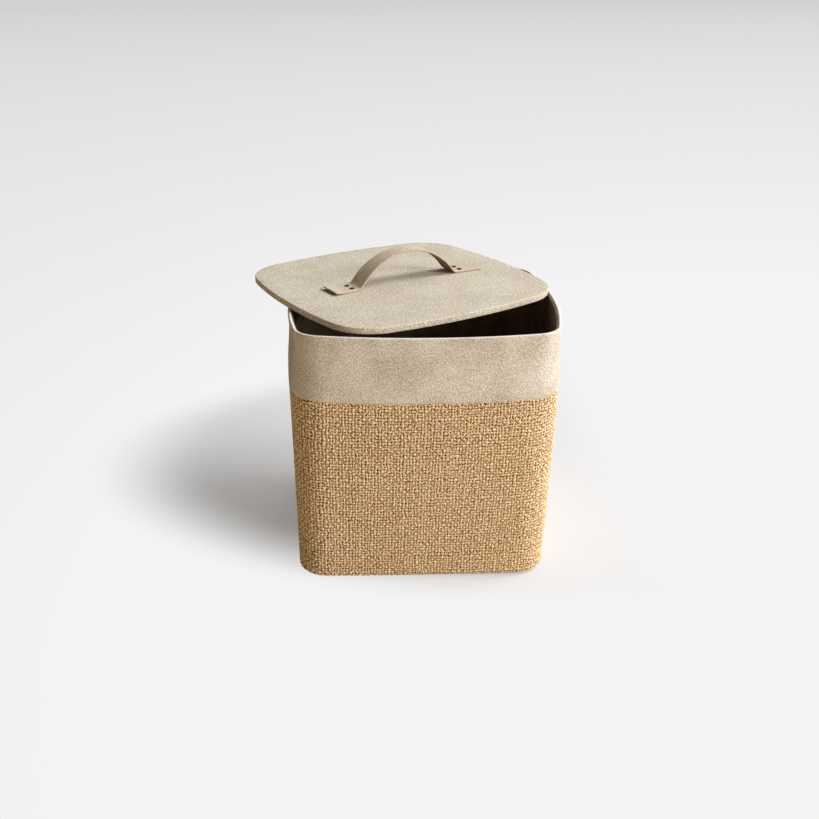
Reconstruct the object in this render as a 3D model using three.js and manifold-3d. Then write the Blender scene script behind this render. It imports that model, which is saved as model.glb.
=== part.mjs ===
// A square basket of woven jute with a suede band, a dark lining and a loose, suede-covered lid.
// Millimetres, +Z up. The origin is the middle of the basket's underside, where it stands.
import * as THREE from "three";
import { mergeVertices } from "three/addons/utils/BufferGeometryUtils.js";
import Module from "manifold-3d";

const wasm = await Module();
wasm.setup();

// Every two pieces that lie on each other keep this gap.
const gap = 0.3;

// The basket's outside at the rim, at the neck that the rim flares out from, at the band's foot (its
// waist) and on the floor. half is half the width between the middles of two sides, bow is the radius
// of each bowed side, and corner is the radius of each corner. The depth, front to back, is a share
// of the width.
const rimHeight = 245;
const depthShare = 0.885;
const rimHalf = 126.6;
const rimBow = 487;
const rimCorner = 29;
const neckHalf = 125.5;
const neckBow = 505;
const neckCorner = 31;
const bandDepth = 60;
const waistHalf = 127.8;
const waistBow = 576;
const waistCorner = 38;
const footHalf = 119.4;
const footBow = 4000;
const footCorner = 29;
// The wall leans, as the photographed one does: its rim stands this far to +X of its foot.
const lean = 3;

// Thicknesses of the basket's layers
const boardThickness = 1.2;
const juteThickness = 2.4;
const jutePressedThickness = 1.2;
const suedeThickness = 0.8;
const liningThickness = 0.6;
const baseClothThickness = 2;
const baseBoardThickness = 3;

// The jute's turned-under bottom edge, and how far it runs up, pressed flat, under the band
const juteEdgeRadius = 5;
const juteTurnUnder = 10;
const juteUnderBand = 12;
// How far the band is turned down inside the rim, and how far below the rim the lining starts
const bandTurnIn = 12;
const liningBelowRim = 1.5;

// The lid's outline, layers and place. It lies askew on the rim and overhangs a corner.
const lidHalf = 125;
const lidDepthShare = 0.95;
const lidBow = 520;
const lidCorner = 48;
const lidBoardThickness = 3.6;
const lidTurnUnder = 12;
const lidEdgeRadius = 0.9;
const lidPlace = { x: -17.6, y: 39.7 };
const lidTurn = THREE.MathUtils.degToRad(30.7);

// The strap handle along the lid's own X axis: an arch with a flat tab at each foot. The arch is
// narrower at its crown, and stands a little to -X of the middle between the tabs' ends.
const strapWidth = 26;
const strapFootWidth = 21.5;
const crownWidth = 18;
const strapThickness = 1.5;
const strapMiddle = { x: 4.6, y: -2.3 };
const archShift = 1.35;
const archHalfSpan = 58.45;
const archRise = 29.5;
const archFootRadius = 8;
const tabLength = 25.65;

// The rivets through the strap, two at each foot of the arch
const rivetFromArch = 4.25;
const rivetSpacing = 9.6;
const shankRadius = 1.2;
const headRadius = 2.7;
const headHeight = 0.9;
const tailRadius = 2.3;
const tailThickness = 0.7;

// Steps of the facets: along a side, round a corner in plan, and round an edge in section
const sideSteps = 6;
const cornerSteps = 5;
const edgeSteps = 4;
const ringsToWaist = 5;
const rivetSteps = 16;
const quarterSteps = sideSteps + cornerSteps;
const turnSteps = 4 * quarterSteps;

const suede = new THREE.MeshStandardMaterial({ color: 0xd9cdb6, roughness: 0.95, metalness: 0 });
const bandSuede = new THREE.MeshStandardMaterial({ color: 0xcdb99e, roughness: 0.95, metalness: 0 });
const jute = new THREE.MeshStandardMaterial({ color: 0xb8935f, roughness: 0.9, metalness: 0 });
const lining = new THREE.MeshStandardMaterial({ color: 0x3a2c22, roughness: 0.9, metalness: 0 });
const board = new THREE.MeshStandardMaterial({ color: 0x9a8468, roughness: 0.85, metalness: 0 });
const bronze = new THREE.MeshStandardMaterial({ color: 0x3d3026, roughness: 0.5, metalness: 0.7 });

// A plan is a square with bowed sides and round corners, made of arcs that meet without a kink and
// then shortened to its depth. The point at a step round it is moved outwards by offset, square to
// the outline.
function planPoint(plan, offset, step) {
  const sideCentre = plan.half - plan.bow;
  const reach = plan.bow - plan.corner;
  const cornerCentre = (sideCentre + Math.sqrt(2 * reach ** 2 - sideCentre ** 2)) / 2;
  const meeting = Math.atan2(cornerCentre, cornerCentre - sideCentre);
  const local = step % quarterSteps;
  const onSide = local <= sideSteps;
  const angle = onSide
    ? meeting * ((2 * local) / sideSteps - 1)
    : THREE.MathUtils.lerp(meeting, Math.PI / 2 - meeting, (local - sideSteps) / cornerSteps);
  const outwards = new THREE.Vector2(Math.cos(angle), Math.sin(angle));
  const centre = onSide
    ? new THREE.Vector2(sideCentre, 0)
    : new THREE.Vector2(cornerCentre, cornerCentre);
  const point = centre.addScaledVector(outwards, onSide ? plan.bow : plan.corner);
  const quarter = Math.floor(step / quarterSteps) * (Math.PI / 2);
  for (const vector of [point, outwards]) {
    vector.rotateAround(new THREE.Vector2(), quarter);
  }
  point.y *= plan.depth;
  outwards.x *= plan.depth;
  return point.addScaledVector(outwards.normalize(), offset);
}

// The stiff wall board's outer face is the line that all of the basket's layers are offset from.
const bandFoot = rimHeight - bandDepth;
const neck = rimHeight - bandTurnIn - 2 * gap;
const juteOut = gap + juteThickness;
const pressedOut = gap + jutePressedThickness;
const bandOut = gap + suedeThickness;
const bandFootOut = pressedOut + bandOut;

function corePlan(z, half, bow, corner, out) {
  return { z, half: half - out, bow: bow - out, corner: corner - out, depth: depthShare };
}

const coreFoot = corePlan(0, footHalf, footBow, footCorner, juteOut);
const coreWaist = corePlan(bandFoot, waistHalf, waistBow, waistCorner, bandFootOut);
const coreNeck = corePlan(neck, neckHalf, neckBow, neckCorner, bandOut);
const coreRim = corePlan(rimHeight, rimHalf, rimBow, rimCorner, bandOut);
const cores = [coreFoot, coreWaist, coreNeck, coreRim];

function basketPoint(offset, z, step) {
  const below = Math.max(0, cores.slice(0, -1).findLastIndex((core) => core.z <= z));
  const [low, high] = cores.slice(below);
  const share = (z - low.z) / (high.z - low.z);
  const point = planPoint(low, offset, step).lerp(planPoint(high, offset, step), share);
  return [point.x + (lean * z) / rimHeight, point.y, z];
}

const lidPlan = { half: lidHalf, bow: lidBow, corner: lidCorner, depth: lidDepthShare };

function lidPoint(offset, z, step) {
  const point = planPoint(lidPlan, offset, step);
  return [point.x, point.y, z];
}

// Leaves only shared corners in a geometry, and drops the triangles that have no area.
function closed(geometry) {
  geometry.deleteAttribute("normal");
  geometry.deleteAttribute("uv");
  const merged = mergeVertices(geometry, 1e-4);
  const index = merged.getIndex().array;
  const kept = [];
  for (let i = 0; i < index.length; i += 3) {
    const [a, b, c] = index.slice(i, i + 3);
    if (a !== b && b !== c && c !== a) {
      kept.push(a, b, c);
    }
  }
  merged.setIndex(kept);
  return merged;
}

// A profile is a list of points (offset from the outline, height), run anticlockwise: up the outside.
// It closes on itself, or starts and ends at the middle of the plan.
const middle = null;
const at = (offset, z) => ({ offset, z });

// A lathe makes two triangles, (a, b, d) and (c, d, b), of each piece of the profile at each step.
// Where the profile runs down they are split along the other diagonal, so that the inside of one
// layer and the outside of the next are split alike and stay parallel.
const cornersPerPiece = 6;

function splitAlike(index, profile) {
  for (let first = 0; first < index.count; first += cornersPerPiece) {
    const piece = (first / cornersPerPiece) % (profile.length - 1);
    if (profile[piece + 1].z < profile[piece].z) {
      const [a, b, d, c] = index.array.slice(first, first + cornersPerPiece);
      index.array.set([a, b, c, a, c, d], first);
    }
  }
}

function turned(profile, pointAt) {
  const round = profile.map(({ offset, z }) => new THREE.Vector2(offset === middle ? 0 : 1, z));
  const geometry = new THREE.LatheGeometry(round, turnSteps);
  splitAlike(geometry.getIndex(), profile);
  const position = geometry.getAttribute("position");
  for (let i = 0; i < position.count; i += 1) {
    const { offset, z } = profile[i % profile.length];
    const step = Math.floor(i / profile.length) % turnSteps;
    const [x, y] = offset === middle ? [0, 0] : pointAt(offset, z, step);
    position.setXYZ(i, x, y, z);
  }
  return closed(geometry);
}

// Points of a round edge about a centre, in degrees from outwards (0) to up (90)
function edge(offset, z, radius, from, to) {
  const points = [];
  for (let i = 0; i <= edgeSteps; i += 1) {
    const angle = THREE.MathUtils.degToRad(THREE.MathUtils.lerp(from, to, i / edgeSteps));
    points.push(at(offset + radius * Math.cos(angle), z + radius * Math.sin(angle)));
  }
  return points;
}

function loop(points) {
  return [...points, points[0]];
}

// Heights where every layer of the wall has a ring of corners, so that the layers' facets stay parallel
const juteTop = bandFoot + juteUnderBand;
const wallRings = [juteTop, neck];
for (let i = ringsToWaist; i > 0; i -= 1) {
  wallRings.unshift((bandFoot * i) / ringsToWaist);
}

// A straight line up or down the wall, with a point at each of those rings
function wallLine(offset, from, to) {
  const between = wallRings.filter((z) => z > Math.min(from, to) && z < Math.max(from, to));
  if (from > to) {
    between.reverse();
  }
  return [from, ...between, to].map((z) => at(offset, z));
}

// A flat sheet or board between two heights, out to an offset from the outline
function sheet(offset, bottom, top, pointAt) {
  const profile = [at(middle, bottom), at(offset, bottom), at(offset, top), at(middle, top)];
  return turned(profile, pointAt);
}

function named(name, geometry, material) {
  const mesh = new THREE.Mesh(geometry, material);
  mesh.name = name;
  return mesh;
}

// Heights in the basket's wall and bottom, from the floor up
const boardFoot = baseClothThickness + gap;
const baseBoardTop = boardFoot + baseBoardThickness;
const liningFoot = baseBoardTop + gap;
const boardTop = rimHeight - suedeThickness - gap;
const boardIn = -boardThickness - gap;

function wallBoard() {
  return turned(
    loop([...wallLine(0, boardFoot, boardTop), ...wallLine(-boardThickness, boardTop, boardFoot)]),
    basketPoint,
  );
}

function juteWall() {
  const clothTop = baseClothThickness;
  return turned(
    loop([
      at(-juteTurnUnder, 0),
      ...edge(juteOut - juteEdgeRadius, juteEdgeRadius, juteEdgeRadius, -90, 0).slice(0, -1),
      ...wallLine(juteOut, juteEdgeRadius, bandFoot - juteThickness),
      at(pressedOut, bandFoot - gap),
      at(pressedOut, juteTop),
      ...wallLine(gap, juteTop, clothTop),
      at(-juteTurnUnder, clothTop),
    ]),
    basketPoint,
  );
}

function suedeBand() {
  const foldMiddle = -boardThickness / 2;
  const foldRadius = boardThickness / 2 + bandOut;
  const foldHeight = rimHeight - foldRadius;
  const turnInFoot = rimHeight - bandTurnIn;
  const turnInOut = boardIn - suedeThickness;
  return turned(
    loop([
      at(bandFootOut - suedeThickness, bandFoot),
      at(bandFootOut, bandFoot),
      at(bandFootOut, juteTop),
      at(bandOut, neck),
      ...edge(foldMiddle, foldHeight, foldRadius, 0, 180),
      at(turnInOut, turnInFoot),
      at(boardIn, turnInFoot),
      at(boardIn, boardTop + gap),
      at(gap, boardTop + gap),
      at(gap, neck),
      at(bandFootOut - suedeThickness, juteTop + gap),
    ]),
    basketPoint,
  );
}

function liningWall() {
  const top = rimHeight - liningBelowRim;
  const overTurnIn = boardIn - suedeThickness - gap;
  return turned(
    loop([
      ...wallLine(boardIn, liningFoot, neck - bandTurnIn),
      ...wallLine(overTurnIn, neck, top),
      ...wallLine(overTurnIn - liningThickness, top, neck),
      ...wallLine(boardIn - liningThickness, neck - bandTurnIn, liningFoot),
    ]),
    basketPoint,
  );
}

// Heights in the lid, from its underside up
const lidBoardFoot = suedeThickness + gap;
const lidBoardTop = lidBoardFoot + lidBoardThickness;
const lidTop = lidBoardTop + gap + suedeThickness;
const strapFoot = lidTop + gap;

function lidTopCover() {
  const coverIn = -suedeThickness;
  return turned(
    [
      at(middle, lidBoardTop + gap),
      at(coverIn, lidBoardTop + gap),
      at(coverIn, suedeThickness),
      at(-lidTurnUnder, suedeThickness),
      at(-lidTurnUnder, 0),
      ...edge(-lidEdgeRadius, lidEdgeRadius, lidEdgeRadius, -90, 0),
      ...edge(-lidEdgeRadius, lidTop - lidEdgeRadius, lidEdgeRadius, 0, 90),
      at(middle, lidTop),
    ],
    lidPoint,
  );
}

const archMiddle = strapMiddle.x - archShift;

// The strap's side view: two flat tabs, two foot arcs and one crown arc that meet without a kink
function strapOutline() {
  const half = strapThickness / 2;
  const crownRadius = (archHalfSpan ** 2 + archRise ** 2) / (2 * archRise) - archFootRadius;
  const slope = Math.asin(archHalfSpan / (crownRadius + archFootRadius));
  const middleHeight = strapFoot + half;
  const footCentre = middleHeight + archFootRadius;
  const crownCentre = middleHeight + archRise - crownRadius;
  const down = -Math.PI / 2;
  const up = Math.PI / 2;
  const left = archMiddle - archHalfSpan;
  const right = archMiddle + archHalfSpan;
  const start = strapMiddle.x - archHalfSpan - tabLength;
  const end = strapMiddle.x + archHalfSpan + tabLength;
  const outline = new THREE.Shape();
  outline.moveTo(start, strapFoot);
  outline.absarc(left, footCentre, archFootRadius + half, down, down + slope, false);
  outline.absarc(archMiddle, crownCentre, crownRadius - half, up + slope, up - slope, true);
  outline.absarc(right, footCentre, archFootRadius + half, down - slope, down, false);
  outline.lineTo(end, strapFoot);
  outline.lineTo(end, strapFoot + strapThickness);
  outline.absarc(right, footCentre, archFootRadius - half, down, down - slope, true);
  outline.absarc(archMiddle, crownCentre, crownRadius + half, up - slope, up + slope, false);
  outline.absarc(left, footCentre, archFootRadius - half, down + slope, down, true);
  outline.lineTo(start, strapFoot + strapThickness);
  return outline;
}

function strap() {
  const settings = { depth: strapWidth, bevelEnabled: false, curveSegments: 10 };
  const geometry = new THREE.ExtrudeGeometry(strapOutline(), settings);
  geometry.rotateX(Math.PI / 2);
  geometry.translate(0, strapWidth / 2, 0);
  const position = geometry.getAttribute("position");
  for (let i = 0; i < position.count; i += 1) {
    const fromCrown = Math.abs(position.getX(i) - archMiddle);
    const share = THREE.MathUtils.smoothstep(fromCrown, 0, archHalfSpan);
    const onArch = fromCrown < archHalfSpan + gap;
    const width = onArch ? THREE.MathUtils.lerp(crownWidth, strapFootWidth, share) : strapWidth;
    position.setY(i, strapMiddle.y + (position.getY(i) * width) / strapWidth);
  }
  return closed(geometry);
}

// The four places of the rivets in the lid
const rivetAlong = archHalfSpan + rivetFromArch;
const rivetPlaces = [];
for (const [end, along] of [["left", -rivetAlong], ["right", rivetAlong]]) {
  for (const [side, across] of [["front", -rivetSpacing / 2], ["back", rivetSpacing / 2]]) {
    const place = { x: strapMiddle.x + along, y: strapMiddle.y + across };
    rivetPlaces.push({ name: `handle_rivet_${end}_${side}`, ...place });
  }
}

function upright(radius, bottom, top, place) {
  const geometry = new THREE.CylinderGeometry(radius, radius, top - bottom, rivetSteps);
  geometry.rotateX(Math.PI / 2);
  geometry.translate(place.x, place.y, (bottom + top) / 2);
  return closed(geometry);
}

function solid(geometry) {
  const vertProperties = new Float32Array(geometry.getAttribute("position").array);
  const triVerts = new Uint32Array(geometry.getIndex().array);
  return new wasm.Manifold(new wasm.Mesh({ numProp: 3, vertProperties, triVerts }));
}

// A geometry with the rivets' holes cut through it between two heights
function drilled(geometry, radius, bottom, top) {
  let body = solid(geometry);
  for (const place of rivetPlaces) {
    body = body.subtract(solid(upright(radius, bottom, top, place)));
  }
  const mesh = body.getMesh();
  const cut = new THREE.BufferGeometry();
  cut.setAttribute("position", new THREE.BufferAttribute(mesh.vertProperties, 3));
  cut.setIndex(new THREE.BufferAttribute(mesh.triVerts, 1));
  return cut;
}

// The rivet's tail spreads in a recess in the board's underside, which the lid's lining covers.
const holeRadius = shankRadius + gap;
const recessTop = lidBoardFoot + tailThickness + 2 * gap;
const headFoot = strapFoot + strapThickness + gap;

function lidBoard() {
  const plain = sheet(-suedeThickness - gap, lidBoardFoot, lidBoardTop, lidPoint);
  const holed = drilled(plain, holeRadius, 0, lidTop);
  return drilled(holed, tailRadius + gap, 0, recessTop);
}

// A flat tail, a shank and a low domed head
function rivet(place) {
  const tailFoot = lidBoardFoot + gap;
  const tailTop = tailFoot + tailThickness;
  const domeRadius = (headRadius ** 2 + headHeight ** 2) / (2 * headHeight);
  const domeCentre = headFoot + headHeight - domeRadius;
  const domeFoot = Math.acos(headRadius / domeRadius);
  const profile = [
    new THREE.Vector2(0, tailFoot),
    new THREE.Vector2(tailRadius, tailFoot),
    new THREE.Vector2(tailRadius, tailTop),
    new THREE.Vector2(shankRadius, tailTop),
    new THREE.Vector2(shankRadius, headFoot),
  ];
  for (let i = 0; i <= edgeSteps; i += 1) {
    const angle = THREE.MathUtils.lerp(domeFoot, Math.PI / 2, i / edgeSteps);
    const out = i < edgeSteps ? domeRadius * Math.cos(angle) : 0;
    profile.push(new THREE.Vector2(out, domeCentre + domeRadius * Math.sin(angle)));
  }
  const geometry = closed(new THREE.LatheGeometry(profile, rivetSteps));
  geometry.rotateX(Math.PI / 2);
  geometry.translate(place.x, place.y, 0);
  return geometry;
}

const basket = new THREE.Group();
basket.add(
  named("base_cover", sheet(-juteTurnUnder - gap, 0, baseClothThickness, basketPoint), jute),
  named("base_board", sheet(boardIn, boardFoot, baseBoardTop, basketPoint), board),
  named("wall_board", wallBoard(), board),
  named("jute_wall", juteWall(), jute),
  named("suede_band", suedeBand(), bandSuede),
  named("lining_wall", liningWall(), lining),
  named(
    "lining_base",
    sheet(boardIn - liningThickness - gap, liningFoot, liningFoot + liningThickness, basketPoint),
    lining,
  ),
);

const lid = new THREE.Group();
lid.position.set(lidPlace.x, lidPlace.y, rimHeight + gap);
lid.rotation.z = lidTurn;
lid.add(
  named(
    "lid_under_cover",
    sheet(-lidTurnUnder - gap, suedeThickness - liningThickness, suedeThickness, lidPoint),
    lining,
  ),
  named("lid_board", lidBoard(), board),
  named("lid_top_cover", drilled(lidTopCover(), holeRadius, lidBoardFoot, strapFoot), suede),
  named("handle_strap", drilled(strap(), holeRadius, lidTop, headFoot), suede),
  ...rivetPlaces.map((place) => named(place.name, rivet(place), bronze)),
);

const group = new THREE.Group();
group.add(basket, lid);

export default group;
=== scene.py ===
import math
import bpy
import numpy as np
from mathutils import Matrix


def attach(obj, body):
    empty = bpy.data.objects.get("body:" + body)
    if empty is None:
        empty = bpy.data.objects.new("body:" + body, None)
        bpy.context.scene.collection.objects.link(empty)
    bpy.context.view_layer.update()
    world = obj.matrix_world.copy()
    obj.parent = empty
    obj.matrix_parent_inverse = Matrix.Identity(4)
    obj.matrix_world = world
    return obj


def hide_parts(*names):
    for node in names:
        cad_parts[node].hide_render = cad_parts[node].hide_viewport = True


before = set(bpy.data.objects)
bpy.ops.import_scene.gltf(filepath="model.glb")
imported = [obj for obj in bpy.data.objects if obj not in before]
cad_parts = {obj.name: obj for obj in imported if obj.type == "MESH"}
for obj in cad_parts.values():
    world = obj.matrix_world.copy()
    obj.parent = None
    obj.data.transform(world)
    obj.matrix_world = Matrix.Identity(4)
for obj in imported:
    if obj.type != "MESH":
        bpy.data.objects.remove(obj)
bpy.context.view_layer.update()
bpy.ops.object.select_all(action="DESELECT")

scene = bpy.context.scene
scene.view_settings.view_transform = "Standard"
print("frame loaded")


# camera, fitted to the outlines in the photo
cameraSetup = {
    "place": (-0.044774, -0.834985, 0.515150),
    "turnDegrees": (65.135, -0.356, -2.308),
    "lens": 40.361,
    "sensor": 36.0,
}

bpy.ops.object.camera_add(location=cameraSetup["place"])
camera = bpy.context.object
camera.rotation_euler = [math.radians(angle) for angle in cameraSetup["turnDegrees"]]
camera.data.lens = cameraSetup["lens"]
camera.data.sensor_width = cameraSetup["sensor"]
camera.data.clip_start = 0.01
scene.camera = camera
print("camera placed")


# The plans at the foot, the waist, the neck and the rim give half the width, the radius of the
# bowed side, the radius of the corner, and the depth for the width. They are those of the wall
# board's outer face, which every layer is offset from.
basket = {
    "rimHeight": 0.245,
    "neck": 0.2324,
    "bandFoot": 0.185,
    "lean": 0.003,  # how far the rim stands to the right of the foot
    "roundLength": 0.88,
    "plans": ((0.1167, 3.9973, 0.0263, 0.885), (0.1252, 0.5734, 0.0354, 0.885),
              (0.1244, 0.5039, 0.0299, 0.885), (0.1255, 0.4859, 0.0279, 0.885)),
}
basket["heights"] = (0.0, basket["bandFoot"], basket["neck"], basket["rimHeight"])

lid = {
    "place": (-0.0176, 0.0397, 0.2453),
    "turnDegrees": 30.7,
    "plan": (0.125, 0.520, 0.048, 0.95),
    "thickness": 0.0058,
    "cover": 0.0008,
    "turnUnder": 0.012,
    "underIn": 0.0123,
}

# how many yarns the jute has across the front, along one side and up the wall
yarnCounts = {"front": 77, "side": 68, "up": 68}
yarnsRound = 2 * (yarnCounts["front"] + yarnCounts["side"])


def outline(plan, offset, turn):
    # turn goes from 0 to 1 round the bowed square, evenly along it, from the start of its +X side.
    # The square is shortened to its depth, and then offset square to its outline.
    half, bow, corner, depth = plan
    sideMiddle = half - bow
    reach = bow - corner
    cornerMiddle = (sideMiddle + math.sqrt(2 * reach ** 2 - sideMiddle ** 2)) / 2
    meeting = math.atan2(cornerMiddle, cornerMiddle - sideMiddle)
    sideLength = 2 * meeting * bow
    cornerLength = (math.pi / 2 - 2 * meeting) * corner
    quarter = np.floor(turn * 4)
    along = (turn * 4 - quarter) * (sideLength + cornerLength)
    onSide = along < sideLength
    angle = np.where(onSide, along / bow - meeting, (along - sideLength) / corner + meeting)
    radius = np.where(onSide, bow, corner)
    x = np.where(onSide, sideMiddle, cornerMiddle) + radius * np.cos(angle)
    y = np.where(onSide, 0.0, cornerMiddle) + radius * np.sin(angle)
    turned = quarter * math.pi / 2
    outX = np.cos(angle + turned) * depth
    outY = np.sin(angle + turned)
    share = offset / np.hypot(outX, outY)
    return (x * np.cos(turned) - y * np.sin(turned) + share * outX,
            (x * np.sin(turned) + y * np.cos(turned)) * depth + share * outY)


def wallPoint(turn, z, offset):
    # a point of the basket's wall: the plans of two heights are blended between them
    x = basket["lean"] * z / basket["rimHeight"]
    y = 0.0 * z
    for number, plan in enumerate(basket["plans"]):
        shares = [float(number == other) for other in range(len(basket["heights"]))]
        share = np.interp(z, basket["heights"], shares)
        planX, planY = outline(plan, offset, turn)
        x = x + planX * share
        y = y + planY * share
    return x, y, z


def ease(share):
    # goes from 0 to 1 with a soft start and a soft end
    return share * share * (3 - 2 * share)


def smoothNoise(rng, shape, cell, wrap=True):
    # Noise from -1 to 1 on a grid of rows and columns, in soft blobs that are cell[0] rows high and
    # cell[1] columns wide. It joins up round the grid, unless wrap is off.
    rows, columns = shape
    coarseRows = int(math.ceil(rows / cell[0])) + 2
    coarseColumns = max(1, int(round(columns / cell[1])))
    coarse = rng.uniform(-1, 1, (coarseRows, coarseColumns + (0 if wrap else 2)))
    up = np.arange(rows) / cell[0]
    across = np.arange(columns) * coarseColumns / columns
    row = np.floor(up).astype(int)
    column = np.floor(across).astype(int)
    upShare = ease(up - row)[:, None]
    acrossShare = ease(across - column)[None, :]
    nextColumn = (column + 1) % coarse.shape[1]
    column = column % coarse.shape[1]
    first, second = [
        coarse[near][:, column] * (1 - acrossShare) + coarse[near][:, nextColumn] * acrossShare
        for near in (row, row + 1)
    ]
    return first * (1 - upShare) + second * upShare


def gridPiece(name, x, y, z):
    # a plane grid laid along a wall or a lid: x, y and z are arrays of its rows and columns
    rows, columns = y.shape
    bpy.ops.object.select_all(action="DESELECT")
    bpy.ops.mesh.primitive_grid_add(x_subdivisions=columns - 1, y_subdivisions=rows - 1, size=1.0)
    piece = bpy.context.object
    piece.name = name
    piece.data.name = name
    points = np.stack([x, y, z], axis=-1)
    piece.data.vertices.foreach_set("co", points.reshape(-1).astype(np.float32))
    piece.data.update()
    return piece


def finishPiece(piece, material, body, node, mergeSeams=True, smoothAngle=40):
    # a piece without a material here keeps the ones that it has
    bpy.ops.object.select_all(action="DESELECT")
    piece.select_set(True)
    bpy.context.view_layer.objects.active = piece
    if mergeSeams:
        bpy.ops.object.mode_set(mode="EDIT")
        bpy.ops.mesh.select_all(action="SELECT")
        bpy.ops.mesh.remove_doubles(threshold=0.00001)
        bpy.ops.mesh.normals_make_consistent(inside=False)
        bpy.ops.object.mode_set(mode="OBJECT")
    bpy.ops.object.shade_smooth_by_angle(angle=math.radians(smoothAngle))
    bpy.ops.object.transform_apply(location=True, rotation=True, scale=True)
    if material is not None:
        piece.data.materials.clear()
        piece.data.materials.append(material)
    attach(piece, body)
    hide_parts(node)


def mapPiece(piece, name, across, along):
    # gives the piece a flat map, one value of across and along for each vertex of its grid
    uvLayer = piece.data.uv_layers[0]
    uvLayer.name = name
    corners = np.zeros(len(piece.data.loops), np.int32)
    piece.data.loops.foreach_get("vertex_index", corners)
    flat = np.stack([across.reshape(-1)[corners], along.reshape(-1)[corners]], 1)
    uvLayer.data.foreach_set("uv", flat.reshape(-1).astype(np.float32))


def lengthAlong(*axes):
    # the length of a line up to each of its points
    steps = np.sqrt(sum(np.diff(axis) ** 2 for axis in axes))
    return np.concatenate([[0], np.cumsum(steps)])


def placeOnLid(piece):
    piece.location = lid["place"]
    piece.rotation_euler = (0, 0, math.radians(lid["turnDegrees"]))


# small helpers for the node trees: an input is a socket or a plain value
def joinInput(tree, socket, value):
    if isinstance(value, bpy.types.NodeSocket):
        tree.links.new(value, socket)
    else:
        socket.default_value = value


def addNode(tree, kind, inputs=None, **settings):
    node = tree.nodes.new(kind)
    for setting, value in settings.items():
        setattr(node, setting, value)
    for socketName, value in (inputs or {}).items():
        joinInput(tree, node.inputs[socketName], value)
    return node


def calc(tree, operation, *values, clamp=False):
    node = tree.nodes.new("ShaderNodeMath")
    node.operation = operation
    node.use_clamp = clamp
    for socket, value in zip(node.inputs, values):
        joinInput(tree, socket, value)
    return node.outputs[0]


def vectorMath(tree, operation, *vectors):
    node = addNode(tree, "ShaderNodeVectorMath", dict(enumerate(vectors)), operation=operation)
    return node.outputs["Value" if operation in ("LENGTH", "DISTANCE") else "Vector"]


def mixValue(tree, factor, first, second):
    node = tree.nodes.new("ShaderNodeMix")
    node.data_type = "FLOAT"
    joinInput(tree, node.inputs[0], factor)
    joinInput(tree, node.inputs[2], first)
    joinInput(tree, node.inputs[3], second)
    return node.outputs[0]


def mixColour(tree, factor, first, second):
    node = tree.nodes.new("ShaderNodeMix")
    node.data_type = "RGBA"
    joinInput(tree, node.inputs[0], factor)
    joinInput(tree, node.inputs[6], first)
    joinInput(tree, node.inputs[7], second)
    return node.outputs[2]


def mapRange(tree, value, fromLow, fromHigh, toLow=0.0, toHigh=1.0):
    node = tree.nodes.new("ShaderNodeMapRange")
    node.interpolation_type = "SMOOTHSTEP"
    for socket, given in zip(node.inputs, (value, fromLow, fromHigh, toLow, toHigh)):
        joinInput(tree, socket, given)
    return node.outputs[0]


def noise(tree, vector, scale, detail=2.0, roughness=0.5):
    node = tree.nodes.new("ShaderNodeTexNoise")
    joinInput(tree, node.inputs["Vector"], vector)
    joinInput(tree, node.inputs["Scale"], scale)
    joinInput(tree, node.inputs["Detail"], detail)
    joinInput(tree, node.inputs["Roughness"], roughness)
    return node.outputs[0]


def randomAt(tree, place):
    # one random value for each whole place on a flat map
    return addNode(tree, "ShaderNodeTexWhiteNoise", {"Vector": place},
                   noise_dimensions="2D").outputs["Value"]


def speckle(tree, vector, scale, contrast):
    # even fine grain on a flat map: light dots less dark dots, from 0 to 1
    darkShift = (7.3, 3.1, 0.0)
    light, dark = [
        addNode(tree, "ShaderNodeTexVoronoi", {"Vector": place, "Scale": scale, "Randomness": 0.85},
                voronoi_dimensions="2D").outputs["Distance"]
        for place in (vector, vectorMath(tree, "ADD", vector, darkShift))
    ]
    difference = calc(tree, "SUBTRACT", dark, light)
    return mapRange(tree, difference, -0.5 / contrast, 0.5 / contrast)


def rgb(red, green, blue):
    # a colour written as sRGB bytes
    def toLinear(byte):
        share = byte / 255
        return share / 12.92 if share <= 0.04045 else ((share + 0.055) / 1.055) ** 2.4
    return (toLinear(red), toLinear(green), toLinear(blue), 1.0)


def newGroup(name, inputs, outputs):
    group = bpy.data.node_groups.new(name, "ShaderNodeTree")
    for socketName, kind, value in inputs:
        socket = group.interface.new_socket(socketName, in_out="INPUT", socket_type=kind)
        if value is not None:
            socket.default_value = value
    for socketName, kind in outputs:
        group.interface.new_socket(socketName, in_out="OUTPUT", socket_type=kind)
    start = group.nodes.new("NodeGroupInput").outputs
    end = group.nodes.new("NodeGroupOutput").inputs
    return group, start, end


def placeGroup(tree, group, **inputs):
    node = tree.nodes.new("ShaderNodeGroup")
    node.node_tree = group
    for socketName, value in inputs.items():
        joinInput(tree, node.inputs[socketName], value)
    return node.outputs


def newMaterial(name):
    material = bpy.data.materials.new(name)
    material.use_nodes = True
    tree = material.node_tree
    return material, tree, tree.nodes["Principled BSDF"]


def objectCoordinates(tree):
    return addNode(tree, "ShaderNodeTexCoord").outputs["Object"]


def bump(tree, height, strength, distance):
    return addNode(tree, "ShaderNodeBump", {
        "Height": height, "Strength": strength, "Distance": distance,
    }).outputs["Normal"]


juteLook = {
    "light": rgb(255, 237, 205),
    "middle": rgb(228, 190, 140),
    "dark": rgb(128, 83, 43),
    # painted shade in the openings between the yarns
    "pit": rgb(72, 36, 13),
    "pitSize": 0.2,
    "pitSpread": 0.14,
    "fibres": 3.0,
    "twist": 0.55,
    "fibreStretch": 1.6,
}
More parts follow.
